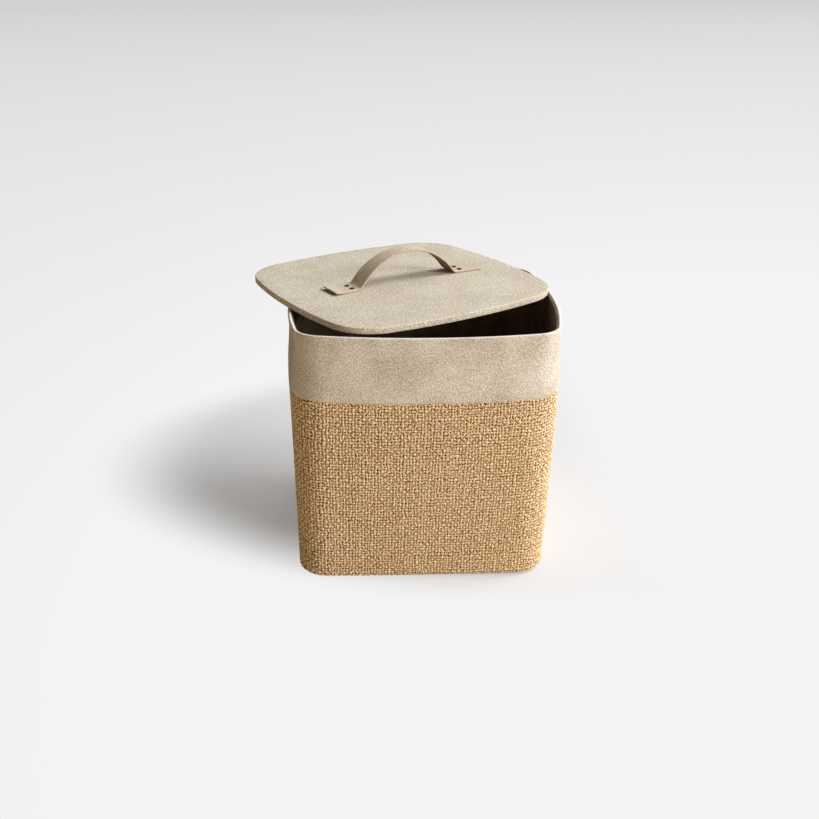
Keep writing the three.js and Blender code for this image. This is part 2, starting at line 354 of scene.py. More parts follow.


# node group: the yarns of a plain weave. Weave counts yarns along X and Y, and at each crossing one
# yarn lies on top as a short float. Pits are the openings between four floats, which the jute
# paints dark as shade; Side rises towards a float's edges, where the jute paints shade in the
# furrows.
def makeYarnGroup():
    group, start, end = newGroup(
        "yarns",
        [("Weave", "NodeSocketVector", None), ("Fibres", "NodeSocketFloat", 8.0),
         ("Twist", "NodeSocketFloat", 0.6)],
        [("Fibre", "NodeSocketFloat"), ("Yarn", "NodeSocketFloat"), ("Float", "NodeSocketFloat"),
         ("Warp over", "NodeSocketFloat"), ("Side", "NodeSocketFloat"), ("Pit", "NodeSocketFloat")],
    )
    parts = addNode(group, "ShaderNodeSeparateXYZ", {"Vector": start["Weave"]}).outputs
    column = calc(group, "FLOOR", parts["X"])
    row = calc(group, "FLOOR", parts["Y"])
    odd = calc(group, "FLOORED_MODULO", calc(group, "ADD", column, row), 2.0)
    warpOver = calc(group, "SUBTRACT", 1.0, odd)
    across = mixValue(group, warpOver, parts["Y"], parts["X"])
    along = mixValue(group, warpOver, parts["X"], parts["Y"])
    # weft yarns are numbered well past the warp yarns
    number = mixValue(group, warpOver, calc(group, "ADD", row, 500.5), column)
    yarn = addNode(group, "ShaderNodeTexWhiteNoise", {"W": number},
                   noise_dimensions="1D").outputs["Value"]
    crossing = addNode(group, "ShaderNodeCombineXYZ", {"X": column, "Y": row}).outputs[0]
    slanted = calc(group, "MULTIPLY_ADD", along, start["Twist"], across)
    fibreVector = addNode(group, "ShaderNodeCombineXYZ", {
        "X": calc(group, "MULTIPLY", slanted, start["Fibres"]),
        "Y": calc(group, "MULTIPLY", along, juteLook["fibreStretch"]),
        "Z": number,
    }).outputs[0]
    side = calc(group, "ABSOLUTE", calc(group, "SUBTRACT", calc(group, "FRACT", across), 0.5))

    corner = vectorMath(group, "FLOOR", vectorMath(group, "ADD", start["Weave"], (0.5, 0.5, 0.0)))
    away = vectorMath(group, "DISTANCE", start["Weave"], corner)
    size = calc(group, "MULTIPLY_ADD", randomAt(group, corner), juteLook["pitSpread"],
                juteLook["pitSize"])
    pit = mapRange(group, calc(group, "DIVIDE", away, size), 0.55, 1.15, 1.0, 0.0)
    group.links.new(noise(group, fibreVector, 1.0, 2.0, 0.6), end["Fibre"])
    group.links.new(yarn, end["Yarn"])
    group.links.new(randomAt(group, crossing), end["Float"])
    group.links.new(warpOver, end["Warp over"])
    group.links.new(mapRange(group, side, 0.22, 0.5), end["Side"])
    group.links.new(pit, end["Pit"])
    return group


# how often each layer of the nap repeats, for a metre
napLook = {
    "broad": 34.0,
    "patches": 160.0,
    "dots": 600.0,
    "dotContrast": 1.6,
    "hairs": 1250.0,
    "grain": 1900.0,
}


# node group: suede, with soft blotches, brushed nap and fine grain. Hide is the flat map of the
# hide, in metres.
def makeSuedeGroup():
    group, start, end = newGroup(
        "suedeNap",
        [("Vector", "NodeSocketVector", None), ("Hide", "NodeSocketVector", None),
         ("Light", "NodeSocketColor", None), ("Dark", "NodeSocketColor", None),
         ("Blotches", "NodeSocketFloat", 0.6), ("Grain", "NodeSocketFloat", 0.5),
         ("Stretch", "NodeSocketVector", (1, 1, 1))],
        [("Color", "NodeSocketColor"), ("Height", "NodeSocketFloat"),
         ("Roughness", "NodeSocketFloat")],
    )

    def layer(name, detail, roughness, low, high):
        fine = noise(group, start["Vector"], napLook[name], detail, roughness)
        return mapRange(group, fine, low, high)

    stretched = vectorMath(group, "MULTIPLY", start["Hide"], start["Stretch"])
    dots = speckle(group, stretched, napLook["dots"], napLook["dotContrast"])
    nap = mixValue(group, 0.5, dots, layer("hairs", 2.0, 0.5, 0.4, 0.6))
    grain = layer("grain", 2.0, 0.6, 0.36, 0.64)
    blotch = mixValue(group, 0.4, layer("broad", 2.0, 0.5, 0.33, 0.67),
                      layer("patches", 3.0, 0.65, 0.3, 0.7))
    soft = mixValue(group, start["Blotches"], 0.5, blotch)
    speck = mixValue(group, start["Grain"], 0.5, mixValue(group, 0.2, nap, grain))
    tone = mixValue(group, 0.7, soft, speck)
    group.links.new(mixColour(group, tone, start["Dark"], start["Light"]), end["Color"])
    group.links.new(mixValue(group, 0.5, nap, grain), end["Height"])
    group.links.new(mapRange(group, blotch, 0.0, 1.0, 0.82, 0.97), end["Roughness"])
    return group


yarnGroup = makeYarnGroup()
suedeGroup = makeSuedeGroup()
print("node groups built")


def makeJuteMaterial():
    material, tree, shader = newMaterial("jute")
    threads = addNode(tree, "ShaderNodeUVMap", uv_map="threads").outputs[0]
    weave = addNode(tree, "ShaderNodeMapping", {
        "Vector": threads, "Scale": (yarnsRound, yarnCounts["up"], 1.0),
    }).outputs[0]
    yarns = placeGroup(tree, yarnGroup, Weave=weave, Fibres=juteLook["fibres"],
                       Twist=juteLook["twist"])
    place = objectCoordinates(tree)
    cloth = mapRange(tree, noise(tree, place, 30.0, 3.0, 0.6), 0.3, 0.7)
    fibre = mapRange(tree, yarns["Fibre"], 0.35, 0.65)
    fluff = speckle(tree, weave, 2.0, 1.15)
    speck = mapRange(tree, noise(tree, place, 1200.0, 0.0, 0.5), 0.64, 0.72, 0.0, 0.7)
    tone = calc(tree, "MULTIPLY_ADD", fibre, 0.26, 0.06)
    # Side darkens the edges of each float: painted shade in the furrows between yarns
    for mask, share in ((fluff, 0.7), (yarns["Float"], 0.08), (yarns["Yarn"], 0.04), (cloth, 0.05),
                        (yarns["Warp over"], -0.16), (yarns["Side"], -0.06)):
        tone = calc(tree, "MULTIPLY_ADD", mask, share, tone)
    lower = mixColour(tree, mapRange(tree, tone, 0.05, 0.45), juteLook["dark"], juteLook["middle"])
    colour = mixColour(tree, mapRange(tree, tone, 0.4, 0.75), lower, juteLook["light"])
    # painted shade in the openings between floats; the random dark specks take the same colour
    colour = mixColour(tree, calc(tree, "MAXIMUM", yarns["Pit"], speck), colour, juteLook["pit"])
    tree.links.new(colour, shader.inputs["Base Color"])
    tree.links.new(mapRange(tree, fibre, 0.0, 1.0, 0.95, 0.78), shader.inputs["Roughness"])
    tree.links.new(bump(tree, fibre, 0.5, 0.0002), shader.inputs["Normal"])
    shader.inputs["Specular IOR Level"].default_value = 0.03
    return material


# each suede: its light and dark colour, how strong its blotches and its grain are, and how fine
# the grain is along its map
evenHide = (1.0, 1.0, 1.0)
suedeLooks = {
    "bandSuede": (rgb(255, 254, 249), rgb(154, 134, 112), 0.85, 1.0, evenHide),
    "lidSuede": (rgb(255, 248, 231), rgb(142, 121, 95), 0.5, 1.0, (0.95, 0.65, 0.95)),
    "strapSuede": (rgb(246, 233, 213), rgb(158, 138, 114), 0.3, 1.0, evenHide),
    "cutEdge": (rgb(214, 198, 176), rgb(158, 140, 116), 0.3, 0.9, evenHide),
    # the underside's dark colour is partly the flesh side's own and partly painted shade under the
    # strap
    "fleshSideAndShade": (rgb(150, 124, 96), rgb(96, 74, 52), 0.3, 0.9, evenHide),
}
# painted highlight: the top of the band's fold at the rim is painted lighter, more and more over
# this height
paintedRimHighlight = {
    "suede": "bandSuede",
    "from": 0.2444,
    "height": 0.0006,
    "share": 0.55,
}


def makeSuedeMaterial(name):
    light, dark, blotches, grain, stretch = suedeLooks[name]
    material, tree, shader = newMaterial(name)
    place = objectCoordinates(tree)
    hide = addNode(tree, "ShaderNodeUVMap", uv_map="hide").outputs[0]
    nap = placeGroup(tree, suedeGroup, Vector=place, Hide=hide, Light=light, Dark=dark,
                     Blotches=blotches, Grain=grain, Stretch=stretch)
    colour = nap["Color"]
    if name == paintedRimHighlight["suede"]:
        # painted highlight: the top of the fold is mixed towards the light colour
        height = addNode(tree, "ShaderNodeSeparateXYZ", {"Vector": place}).outputs["Z"]
        wearAndHighlight = mapRange(tree, height, paintedRimHighlight["from"], paintedRimHighlight["from"] + paintedRimHighlight["height"], 0.0,
                        paintedRimHighlight["share"])
        colour = mixColour(tree, wearAndHighlight, colour, light)
    tree.links.new(colour, shader.inputs["Base Color"])
    tree.links.new(nap["Roughness"], shader.inputs["Roughness"])
    tree.links.new(bump(tree, nap["Height"], 0.5, 0.0002), shader.inputs["Normal"])
    shader.inputs["Specular IOR Level"].default_value = 0.15
    shader.inputs["Sheen Weight"].default_value = 0.05
    shader.inputs["Sheen Roughness"].default_value = 0.6
    return material


def makeLiningMaterial():
    # closely woven dark cotton
    material, tree, shader = newMaterial("lining")
    place = objectCoordinates(tree)
    threads = {"Vector": place, "Scale": 520.0, "Distortion": 0.6, "Detail": 1.0}
    level, slope = [
        addNode(tree, "ShaderNodeTexWave", threads, bands_direction=direction).outputs["Fac"]
        for direction in ("Z", "DIAGONAL")
    ]
    weave = calc(tree, "MAXIMUM", level, slope)
    patches = mapRange(tree, noise(tree, place, 45.0, 3.0, 0.6), 0.3, 0.7)
    tone = mixValue(tree, 0.5, weave, patches)
    colour = mixColour(tree, tone, rgb(124, 102, 82), rgb(168, 146, 122))
    tree.links.new(colour, shader.inputs["Base Color"])
    tree.links.new(mapRange(tree, weave, 0.0, 1.0, 0.95, 0.8), shader.inputs["Roughness"])
    tree.links.new(bump(tree, weave, 0.4, 0.00015), shader.inputs["Normal"])
    shader.inputs["Specular IOR Level"].default_value = 0.2
    return material


def makeBoardMaterial():
    # pressed fibreboard
    material, tree, shader = newMaterial("fibreboard")
    place = objectCoordinates(tree)
    chips = noise(tree, place, 900.0, 4.0, 0.7)
    stain = mapRange(tree, noise(tree, place, 60.0, 2.0, 0.5), 0.35, 0.65)
    tone = mixValue(tree, 0.35, chips, stain)
    colour = mixColour(tree, tone, rgb(116, 92, 66), rgb(176, 150, 118))
    tree.links.new(colour, shader.inputs["Base Color"])
    tree.links.new(mapRange(tree, chips, 0.3, 0.7, 0.7, 0.9), shader.inputs["Roughness"])
    tree.links.new(bump(tree, chips, 0.3, 0.0001), shader.inputs["Normal"])
    return material


def makeRivetMaterial():
    # darkened metal, rubbed brighter in places
    material, tree, shader = newMaterial("darkBronze")
    place = objectCoordinates(tree)
    wearAndHighlight = mapRange(tree, noise(tree, place, 700.0, 3.0, 0.6), 0.4, 0.7)
    colour = mixColour(tree, wearAndHighlight, rgb(38, 25, 16), rgb(74, 52, 34))
    tree.links.new(colour, shader.inputs["Base Color"])
    tree.links.new(mapRange(tree, wearAndHighlight, 0.0, 1.0, 0.55, 0.38), shader.inputs["Roughness"])
    tree.links.new(bump(tree, wearAndHighlight, 0.2, 0.00005), shader.inputs["Normal"])
    shader.inputs["Metallic"].default_value = 0.7
    return material


juteMaterial = makeJuteMaterial()
suede = {name: makeSuedeMaterial(name) for name in suedeLooks}
liningMaterial = makeLiningMaterial()
boardMaterial = makeBoardMaterial()
rivetMaterial = makeRivetMaterial()
print("materials made")


def finishNode(nodeName, material):
    # a solid that shows as it is gets its finish
    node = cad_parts[nodeName]
    node.data.materials.clear()
    node.data.materials.append(material)


for boardName in ("wall_board", "base_board", "lid_board"):
    finishNode(boardName, boardMaterial)


# jute cloth: a real plain weave, in four panels that meet in the furrow between two yarns
juteCloth = {
    "seed": 11,
    "panels": (("Right", "side"), ("Back", "front"), ("Left", "side"), ("Front", "front")),
    "flat": {"front": (0.236, 0.2), "side": (0.21, 0.2)},
    "facesPerYarn": 4,
    "topHeight": 0.1885,
    "edgeRadius": 0.005,
    "turnUnder": 0.010,
    "outside": 0.0026,
    # under the band the cloth is pressed flat
    "pressedTo": 0.0014,
    "pressedFrom": 0.1825,
    "pressedAt": 0.1848,
    "pressedShare": 0.4,
    # how thick the yarns are and how far they go up and down
    "yarnHeight": 0.0009,
    "crimp": 0.00075,
    "warpShare": 0.75,
    "swelling": 0.0005,
    # how uneven they are: shares of their thickness, the cell in yarns, slub lengths in grid steps
    "unevenGirth": 0.17,
    "girthCell": 5,
    "slubs": 260,
    "slubLength": (3, 9),
    "slubHeight": (0.25, 0.6),
    # how unevenly they lie, in yarns: each noise is (how far, cells up, cells round)
    "spacing": 0.075,
    "spacingLimit": 0.2,
    "wanderRound": ((0.12, 8, 5), (0.24, 1.5, 1.5)),
    "wanderUp": ((0.26, 9, 22), (0.12, 4, 6), (0.24, 1.5, 1.5)),
    "steadyRows": 4,
}


def yarnGirth(rng, yarns, steps):
    # how thick each yarn is along its length, with a few thick slubs; one row for each yarn
    uneven = juteCloth["unevenGirth"]
    cell = juteCloth["girthCell"] * juteCloth["facesPerYarn"]
    girth = 1 + uneven * smoothNoise(rng, (yarns, steps), (1, cell), wrap=False)
    girth += 0.5 * uneven * rng.normal(0, 1, (yarns, 1)).clip(-2, 2)
    places = np.arange(steps)
    for _ in range(juteCloth["slubs"]):
        yarn = rng.integers(yarns)
        middle = rng.uniform(0, steps)
        length = rng.uniform(*juteCloth["slubLength"])
        height = rng.uniform(*juteCloth["slubHeight"])
        girth[yarn] += height * np.exp(-((places - middle) / length) ** 2)
    return girth


def yarnGaps(rng, yarns):
    # how far each yarn lies from its even place
    limit = juteCloth["spacingLimit"]
    return rng.normal(0, juteCloth["spacing"], yarns + 1).clip(-limit, limit)


def addWander(shift, rng, shape, layers):
    # adds soft noise to the places of the yarns, one layer after the other
    faces = juteCloth["facesPerYarn"]
    for far, up, around in layers:
        shift = shift + far * smoothNoise(rng, shape, (up * faces, around * faces))
    return shift


def roundness(across):
    # how high a round yarn stands at a place across it, from -0.5 to 0.5
    return np.sqrt(np.clip(1 - (2 * across) ** 2, 0, 1))


def weaveFields():
    # for each point of the cloth: its yarn up the wall, how far it is moved round and up in yarns,
    # and how high it stands
    rng = np.random.default_rng(juteCloth["seed"])
    faces = juteCloth["facesPerYarn"]
    warps = yarnsRound
    wefts = yarnCounts["up"]
    shape = (wefts * faces + 1, warps * faces)
    rows, columns = shape
    u = np.arange(columns) / faces
    v = np.arange(rows) / faces
    warp = np.floor(u).astype(int)
    weft = np.minimum(np.floor(v).astype(int), wefts - 1)
    over = 1 - 2 * ((warp[None, :] + weft[:, None]) % 2)

    warpGirth = yarnGirth(rng, warps, rows)[warp].T
    weftGirth = yarnGirth(rng, wefts, columns)[weft]
    roundWarp = roundness(u - warp - 0.5)[None, :]
    roundWeft = roundness(v - weft - 0.5)[:, None]
    waveWarp = over * np.abs(np.sin(math.pi * v))[:, None]
    waveWeft = -over * np.abs(np.sin(math.pi * u))[None, :]
    crimp = juteCloth["crimp"]
    thick = juteCloth["yarnHeight"]
    standing = np.maximum(
        juteCloth["warpShare"] * (crimp * waveWarp + thick * warpGirth * roundWarp),
        crimp * waveWeft + thick * weftGirth * roundWeft)

    # yarns stand unevenly apart, and the rows wander up and down, but not at the foot
    gaps = yarnGaps(rng, warps)
    gaps[-1] = gaps[0]
    uShift = np.interp(u, np.arange(warps + 1), gaps)[None, :]
    uShift = addWander(uShift, rng, shape, juteCloth["wanderRound"])
    rowGaps = yarnGaps(rng, wefts)
    rowGaps[0] = rowGaps[-1] = 0
    vShift = np.interp(v, np.arange(wefts + 1), rowGaps)[:, None]
    vShift = addWander(vShift, rng, shape, juteCloth["wanderUp"])
    steady = np.clip(v / juteCloth["steadyRows"], 0, 1)[:, None]
    return v, uShift, vShift * steady, standing


def juteProfile(length):
    # goes out along the turned-under hem, round the soft bottom edge and up the wall.
    # Gives the offset from the board, the height, and how much a thread stands out and down there.
    radius = juteCloth["edgeRadius"]
    out = juteCloth["outside"]
    hem = juteCloth["turnUnder"]
    flat = hem + out - radius
    arc = radius * math.pi / 2
    angle = np.clip((length - flat) / radius, 0, math.pi / 2)
    outward, downward = np.sin(angle), np.cos(angle)
    offset = np.where(length < flat, length - hem, out - radius + radius * outward)
    height = np.where(length > flat + arc, radius + length - flat - arc, radius - radius * downward)
    return offset, height, outward, downward


def makeJutePanels():
    v, uShift, vShift, threadHeight = weaveFields()
    faces = juteCloth["facesPerYarn"]
    wefts = yarnCounts["up"]
    flat = juteCloth["turnUnder"] + juteCloth["outside"] - juteCloth["edgeRadius"]
    fullLength = flat + juteCloth["edgeRadius"] * (math.pi / 2 - 1) + juteCloth["topHeight"]
    fullHeight = juteCloth["crimp"] + juteCloth["yarnHeight"]
    pressing = juteCloth["pressedAt"] - juteCloth["pressedFrom"]
    first = 0
    for number, (side, kind) in enumerate(juteCloth["panels"]):
        yarns = yarnCounts[kind]
        columns = np.arange(first * faces, (first + yarns) * faces + 1)
        wrapped = columns % (yarnsRound * faces)
        turn = (number + (columns[None, :] / faces - first + uShift[:, wrapped]) / yarns) / 4
        first += yarns
        length = (v[:, None] + vShift[:, wrapped]) * fullLength / wefts
        offset, z, outward, downward = juteProfile(length)
        standing = threadHeight[:, wrapped] - fullHeight
        swell = juteCloth["swelling"] * np.sin(math.pi * np.clip(z / basket["bandFoot"], 0, 1))
        pressed = ease(np.clip((z - juteCloth["pressedFrom"]) / pressing, 0, 1))
        standing = standing * (1 - pressed * (1 - juteCloth["pressedShare"]))
        offset = offset + pressed * (juteCloth["pressedTo"] - offset)
        offset = offset + outward * (standing + swell)
        z = z - downward * np.minimum(standing, 0)
        x, y, z = wallPoint(turn % 1.0, z, offset)
        panel = gridPiece("jute" + side, x, y, z)
        mapPiece(panel, "threads", columns[None, :] / faces / yarnsRound + 0 * z,
                 v[:, None] / wefts + 0 * z)
        finishPiece(panel, juteMaterial, "basket", "jute_wall", mergeSeams=False,
                    smoothAngle=180)


makeJutePanels()
print("jute woven")


# suede band: a strip folded over the rim, with soft unevenness of the hide
band = {
    "seed": 5,
    "columns": 480,
    "juteTop": 0.197,
    "thickness": 0.0008,
    "footOut": 0.0026,
    # the rounded cut edge at the foot: shares of the thickness inwards, and heights
    "cutEdge": ((1.0, 0.0003), (0.7, 0.00005), (0.3, 0.00005), (0.0, 0.0004)),
    "innerBend": 0.0003,
    "foldRadius": 0.0017,
    "foldMiddle": -0.0006,
    "foldSteps": 8,
    "turnInFoot": 0.233,
    "flatWidth": 0.074,
    "uneven": 0.00012,
}
# the ripple of a hide or a cloth round the wall: share, cells up, and how many cells round
wallRipple = ((1.0, 5, 44), (0.5, 3, 120))


def profileLine(start, end, steps):
    # evenly spaced points from start, without the end
    start, end = np.array(start), np.array(end)
    return [tuple(start * (1 - i / steps) + end * (i / steps)) for i in range(steps)]


def bandProfile():
    # up the outside, over the fold, down to the turned-in end, and back inside the hide
    rim = basket["rimHeight"]
    neck = basket["neck"]
    thick = band["thickness"]
    radius = band["foldRadius"]
    fold = rim - radius
    inner = band["foldMiddle"] - radius
    innerTop = rim - thick
    foldOut = band["foldMiddle"] + radius
    out = band["footOut"]
    foot = [(out - share * thick, basket["bandFoot"] + height) for share, height in band["cutEdge"]]
    points = foot[:-1]
    points += profileLine(foot[-1], (out, band["juteTop"]), 5)
    points += profileLine((out, band["juteTop"]), (foldOut, neck), 12)
    points += profileLine((foldOut, neck), (foldOut, fold), 4)
    for i in range(band["foldSteps"] + 1):
        angle = math.pi * i / band["foldSteps"]
        points.append((band["foldMiddle"] + radius * math.cos(angle),
                       fold + radius * math.sin(angle)))
    points += profileLine((inner, fold), (inner, band["turnInFoot"]), 4)[1:]
    points += [(inner, band["turnInFoot"]), (inner + thick, band["turnInFoot"])]
    points += profileLine((inner + thick, band["turnInFoot"]), (inner + thick, innerTop), 2)[1:]
    points += [(inner + thick, innerTop), (foldOut - thick, innerTop), (foldOut - thick, neck),
               (out - thick, band["juteTop"] + band["innerBend"])]
    return points + [points[0]]


def wallPiece(name, profile, columns, uneven, seed):
    # a closed profile of (offset, height), carried all the way round the wall
    rng = np.random.default_rng(seed)
    offset = np.array([point[0] for point in profile])[:, None]
    z = np.array([point[1] for point in profile])[:, None]
    shape = (len(profile), columns)
    ripple = sum(share * smoothNoise(rng, shape, (up, columns / cells))
                 for share, up, cells in wallRipple)
    ripple[-1] = ripple[0]
    ripple = np.concatenate([ripple, ripple[:, :1]], axis=1)
    turn = (np.arange(columns + 1) / columns)[None, :] % 1.0
    x, y, z = wallPoint(turn, z + 0 * turn, offset + uneven * ripple)
    piece = gridPiece(name, x, y, z)
    around = np.arange(columns + 1) / columns * basket["roundLength"]
    down = lengthAlong(offset[:, 0], z[:, 0])
    mapPiece(piece, "hide", around[None, :] + 0 * z, down[:, None] + 0 * z)
    return piece


suedeBand = wallPiece("suedeBand", bandProfile(), band["columns"], band["uneven"], band["seed"])
finishPiece(suedeBand, suede["bandSuede"], "basket", "suede_band", smoothAngle=50)


# dark lining of the wall and bottom
lining = {
    "seed": 8,
    "columns": 320,
    "roundLength": 0.86,
    "foot": 0.0056,
    "top": 0.2435,
    "stepStart": 0.2204,
    "stepIn": 0.0026,
    "wallIn": 0.0015,
    "thickness": 0.0006,
    "uneven": 0.0001,
}


def liningProfile():
    # up the inside and over the step of the turned-in band, and back down behind
    thick = lining["thickness"]
    low = lining["stepStart"]
    wall = profileLine((-lining["wallIn"], lining["foot"]), (-lining["wallIn"], low), 12)
    step = [(-lining["wallIn"], low), (-lining["stepIn"], basket["neck"]),
            (-lining["stepIn"], lining["top"])]
    back = [(offset - thick, z) for offset, z in reversed(wall + step)]
    points = wall + step + back
    return points + [points[0]]


liningWall = wallPiece("liningWall", liningProfile(), lining["columns"], lining["uneven"],
                       lining["seed"])
finishPiece(liningWall, liningMaterial, "basket", "lining_wall", smoothAngle=50)
print("band and lining fitted")


# flat cloths: how finely a disk is divided, round and from the middle out
disk = {
    "columns": 200,
    "rings": 12,
    "edgeSteps": 6,
}


def stackRows(rows):
    # makes arrays of rows of (x, y, z), each at one height
    x = np.array([row[0] for row in rows])
    y = np.array([row[1] for row in rows])
    z = np.array([np.full(len(row[0]), row[2]) for row in rows])
    return x, y, z


def diskPiece(name, plan, offset, bottom, top, edgeRadius):
    # a thin cloth in the plan's outline, with a soft edge all round
    turn = np.arange(disk["columns"] + 1) / disk["columns"] % 1.0
    edgeX, edgeY = outline(plan, offset - edgeRadius, turn)
    middle = (bottom + top) / 2
    halfHeight = (top - bottom) / 2
    shares = [ring / disk["rings"] for ring in range(disk["rings"] + 1)]
    rows = [(edgeX * share, edgeY * share, bottom) for share in shares]
    for i in range(1, disk["edgeSteps"]):
        angle = math.pi * (i / disk["edgeSteps"] - 0.5)
        x, y = outline(plan, offset - edgeRadius + edgeRadius * math.cos(angle), turn)
        rows.append((x, y, middle + halfHeight * math.sin(angle)))
    rows += [(edgeX * share, edgeY * share, top) for share in reversed(shares)]
    return gridPiece(name, *stackRows(rows))


baseCloths = {
    "liningTop": 0.0062,
    "liningFoot": 0.0056,
    "liningIn": 0.0024,
    "liningEdge": 0.0003,
    "coverTop": 0.002,
    "coverIn": 0.0103,
    "coverEdge": 0.001,
    "yarnPitch": 0.0032,
}
footPlan = basket["plans"][0]

liningBase = diskPiece("liningBase", footPlan, -baseCloths["liningIn"], baseCloths["liningFoot"],
                       baseCloths["liningTop"], baseCloths["liningEdge"])
finishPiece(liningBase, liningMaterial, "basket", "lining_base")

baseCover = diskPiece("baseCover", footPlan, -baseCloths["coverIn"], 0.0, baseCloths["coverTop"],
                      baseCloths["coverEdge"])
# the jute's pattern counts yarns on its "threads" map, here straight across the bottom
yarnAt = np.array([vertex.co[:2] for vertex in baseCover.data.vertices]) / baseCloths["yarnPitch"]
mapPiece(baseCover, "threads", yarnAt[:, 0] / yarnsRound, yarnAt[:, 1] / yarnCounts["up"])
finishPiece(baseCover, juteMaterial, "basket", "base_cover")
print("bottom cloths laid")


# lid: a board wrapped in suede, with a dark cloth under it
lidCoverShape = {
    "seed": 21,
    "columns": 360,
    "rings": 26,
    "edgeRadius": 0.0009,
    "edgeSteps": 6,
    "uneven": 0.00012,
    "rippleRings": 5,
    "rippleCells": 16,
}
lidUnderShape = {
    "bottom": 0.0002,
    "top": 0.0008,
    "edge": 0.0003,
}


def makeLidCover():
    # from the middle of the top, over the edge and under it to the end of the turned-under hem,
    # and back inside along the board
    rng = np.random.default_rng(lidCoverShape["seed"])
    plan = lid["plan"]
    columns = lidCoverShape["columns"]
    rings = lidCoverShape["rings"]
    turn = np.arange(columns + 1) / columns % 1.0
    top = lid["thickness"]
    thick = lid["cover"]
    hem = lid["turnUnder"]
    radius = lidCoverShape["edgeRadius"]
    steps = lidCoverShape["edgeSteps"]
    edgeX, edgeY = outline(plan, -radius, turn)
    shares = [ring / rings for ring in range(rings + 1)]
    rows = [(edgeX * share, edgeY * share, top) for share in shares]
    edge = [(top - radius, math.pi / 2 * (1 - i / steps)) for i in range(1, steps + 1)]
    edge += [(radius, -math.pi / 2 * i / steps) for i in range(steps + 1)]
    for middle, angle in edge:
        x, y = outline(plan, -radius + radius * math.cos(angle), turn)
        rows.append((x, y, middle + radius * math.sin(angle)))
    for offset, z in ((-hem, 0.0), (-hem, thick), (-thick, thick), (-thick, top - thick)):
        rows.append((*outline(plan, offset, turn), z))
    rows.append((edgeX * 0, edgeY * 0, top - thick))
    x, y, z = stackRows(rows)

    # the top ripples a little, most half way out
    ripple = smoothNoise(rng, (rings + 1, columns), (lidCoverShape["rippleRings"],
                                                     columns / lidCoverShape["rippleCells"]))
    ripple = np.concatenate([ripple, ripple[:, :1]], axis=1)
    fade = np.linspace(0, 1, rings + 1)[:, None]
    z[:rings + 1] += lidCoverShape["uneven"] * ripple * fade * (1.05 - fade) * 4
    piece = gridPiece("lidCover", x, y, z)

    # the hide's map is flat on top, and goes on outwards where the hide turns down over the edge
    below = lengthAlong(x[:, 0], y[:, 0], z[:, 0])
    below = np.maximum(below - below[rings], 0)[:, None]
    reach = 1 + below / np.hypot(edgeX, edgeY)
    flatX = np.where(below > 0, edgeX * reach, x)
    flatY = np.where(below > 0, edgeY * reach, y)
    mapPiece(piece, "hide", flatX, flatY)
    placeOnLid(piece)
    finishPiece(piece, suede["lidSuede"], "lid", "lid_top_cover", smoothAngle=50)


makeLidCover()

lidUnder = diskPiece("lidUnder", lid["plan"], -lid["underIn"], lidUnderShape["bottom"],
                     lidUnderShape["top"], lidUnderShape["edge"])
placeOnLid(lidUnder)
finishPiece(lidUnder, liningMaterial, "lid", "lid_under_cover")
print("lid covered")


# strap handle: one suede strip that arches between two flat tabs
strap = {
    "foot": 0.0061,
    "thickness": 0.0015,
    "tabWidth": 0.026,
    "footWidth": 0.0215,
    "crownWidth": 0.018,
    "aside": -0.0023,
    "start": -0.0795,
    "end": 0.0887,
    "archMiddle": 0.00325,
    "halfSpan": 0.05845,
    "rise": 0.0295,
    "footRadius": 0.008,
    "tabLift": 0.0017,
    "liftFrom": -0.068,
    "liftCurve": 1.6,
    "step": 0.0018,
    "acrossFaces": 14,
    "edgeRound": 0.0004,
}


def strapLine():
    # centre line in the lid's own frame, as (x, z) every few millimetres
    footHeight = strap["foot"] + strap["thickness"] / 2
    halfSpan = strap["halfSpan"]
    crown = (halfSpan ** 2 + strap["rise"] ** 2) / (2 * strap["rise"]) - strap["footRadius"]
    slope = math.asin(halfSpan / (crown + strap["footRadius"]))
    left = strap["archMiddle"] - halfSpan
    right = strap["archMiddle"] + halfSpan
    points = []

    def line(fromX, toX):
        count = max(2, int(round((toX - fromX) / strap["step"])))
        for i in range(count):
            points.append((fromX + (toX - fromX) * i / count, footHeight))

    def arc(x, z, radius, fromAngle, toAngle):
        count = max(2, int(round(radius * abs(toAngle - fromAngle) / strap["step"])))
        for i in range(count):
            angle = fromAngle + (toAngle - fromAngle) * i / count
            points.append((x + radius * math.cos(angle), z + radius * math.sin(angle)))

    quarter = math.pi / 2
    line(strap["start"], left)
    arc(left, footHeight + strap["footRadius"], strap["footRadius"], -quarter, -quarter + slope)
    arc(strap["archMiddle"], footHeight + strap["rise"] - crown, crown, quarter + slope,
        quarter - slope)
    arc(right, footHeight + strap["footRadius"], strap["footRadius"], -quarter - slope, -quarter)
    line(right, strap["end"])
    points.append((strap["end"], footHeight))
    return np.array(points)


def strapWidths(line):
    # narrowest at the crown, wider at the feet, and widest at the ends of the tabs
    away = np.abs(line[:, 0] - strap["archMiddle"])
    archShare = ease(np.clip(away / strap["halfSpan"], 0, 1))
    tabEnds = np.where(line[:, 0] < strap["archMiddle"], line[0, 0], line[-1, 0])
    tabLengths = np.abs(tabEnds - strap["archMiddle"]) - strap["halfSpan"]
    tabShare = np.clip((away - strap["halfSpan"]) / tabLengths, 0, 1)
    width = strap["crownWidth"] + (strap["footWidth"] - strap["crownWidth"]) * archShare
    return width + (strap["tabWidth"] - strap["footWidth"]) * tabShare


